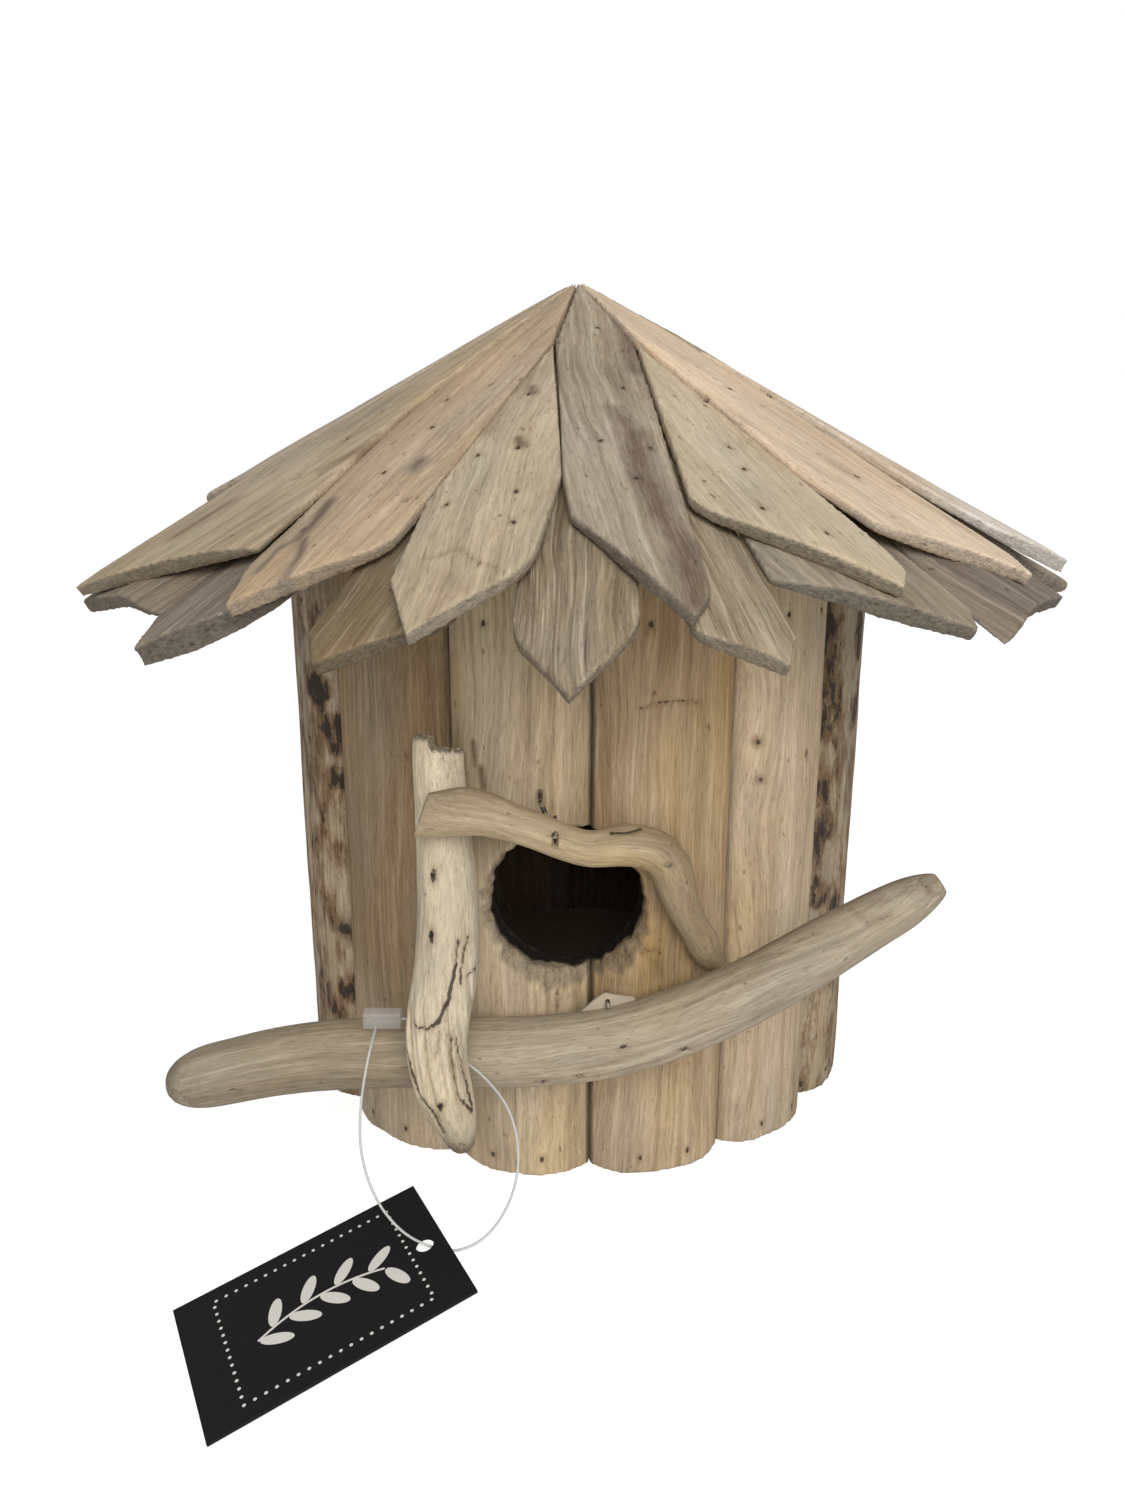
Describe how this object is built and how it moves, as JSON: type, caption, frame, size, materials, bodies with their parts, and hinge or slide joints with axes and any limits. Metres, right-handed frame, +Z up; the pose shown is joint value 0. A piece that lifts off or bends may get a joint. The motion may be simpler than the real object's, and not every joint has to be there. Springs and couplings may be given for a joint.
{
  "type": "birdhouse",
  "caption": "Round driftwood birdhouse: half-round staves, a conical roof of overlapping spear-ended boards, a round entrance framed by branches, a perch, and a loose hang tag on a loop",
  "frame": {"origin": "middle of the floor's underside, on the axis of the round body", "axes": "+Z is up, the entrance faces -Y and +X is to the right seen from the front"},
  "size_m": [0.2938, 0.3255, 0.2438],
  "materials": {
    "wall_wood": "weathered",
    "under_wood": "weathered",
    "over_wood": "weathered",
    "perch_wood": "smooth driftwood",
    "upright_wood": "bleached",
    "lintel_wood": "smooth driftwood",
    "inner_wood": "raw",
    "nail_steel": "dull",
    "tag_card": "matt card",
    "lock_plastic": "clear",
    "loop_nylon": "clear"
  },
  "bodies": {
    "house": {"wall_stave_01": "wall_wood", "wall_stave_02": "wall_wood", "wall_stave_03": "wall_wood", "wall_stave_04": "wall_wood", "wall_stave_05": "wall_wood", "wall_stave_06": "wall_wood", "wall_stave_07": "wall_wood", "wall_stave_08": "wall_wood", "wall_stave_09": "wall_wood", "wall_stave_10": "wall_wood", "wall_stave_11": "wall_wood", "wall_stave_12": "wall_wood", "wall_stave_13": "wall_wood", "wall_stave_14": "wall_wood", "under_board_01": "under_wood", "under_board_02": "under_wood", "under_board_03": "under_wood", "under_board_04": "under_wood", "under_board_05": "under_wood", "under_board_06": "under_wood", "under_board_07": "under_wood", "under_board_08": "under_wood", "under_board_09": "under_wood", "under_board_10": "under_wood", "under_board_11": "under_wood", "under_board_12": "under_wood", "under_board_13": "under_wood", "under_board_14": "under_wood", "under_board_15": "under_wood", "under_board_16": "under_wood", "over_board_01": "over_wood", "over_board_02": "over_wood", "over_board_03": "over_wood", "over_board_04": "over_wood", "over_board_05": "over_wood", "over_board_06": "over_wood", "over_board_07": "over_wood", "over_board_08": "over_wood", "over_board_09": "over_wood", "over_board_10": "over_wood", "over_board_11": "over_wood", "over_board_12": "over_wood", "over_board_13": "over_wood", "over_board_14": "over_wood", "over_board_15": "over_wood", "over_board_16": "over_wood", "floor_disc": "inner_wood", "ceiling_disc": "inner_wood", "roof_hub": "inner_wood", "perch_branch": "perch_wood", "upright_branch": "upright_wood", "lintel_branch": "lintel_wood", "wall_nails": "nail_steel", "roof_nails": "nail_steel", "branch_nails": "nail_steel", "tag_lock": "lock_plastic"},
    "loop": {"tag_loop": "loop_nylon"},
    "tag": {"hang_tag": "tag_card"}
  },
  "joints": [
    {"name": "loop_swing", "type": "hinge", "parent": "house", "child": "loop", "pos_m": [-0.035, -0.107, 0.049], "axis": [-1, 0, 0], "range_deg": [0, 40], "deforming": ["tag_loop"]},
    {"name": "tag_swivel", "type": "hinge", "parent": "loop", "child": "tag", "pos_m": [-0.0375, -0.1336, 0.0129], "axis": [0, 0, 1], "range_deg": [-40, 40]}
  ]
}
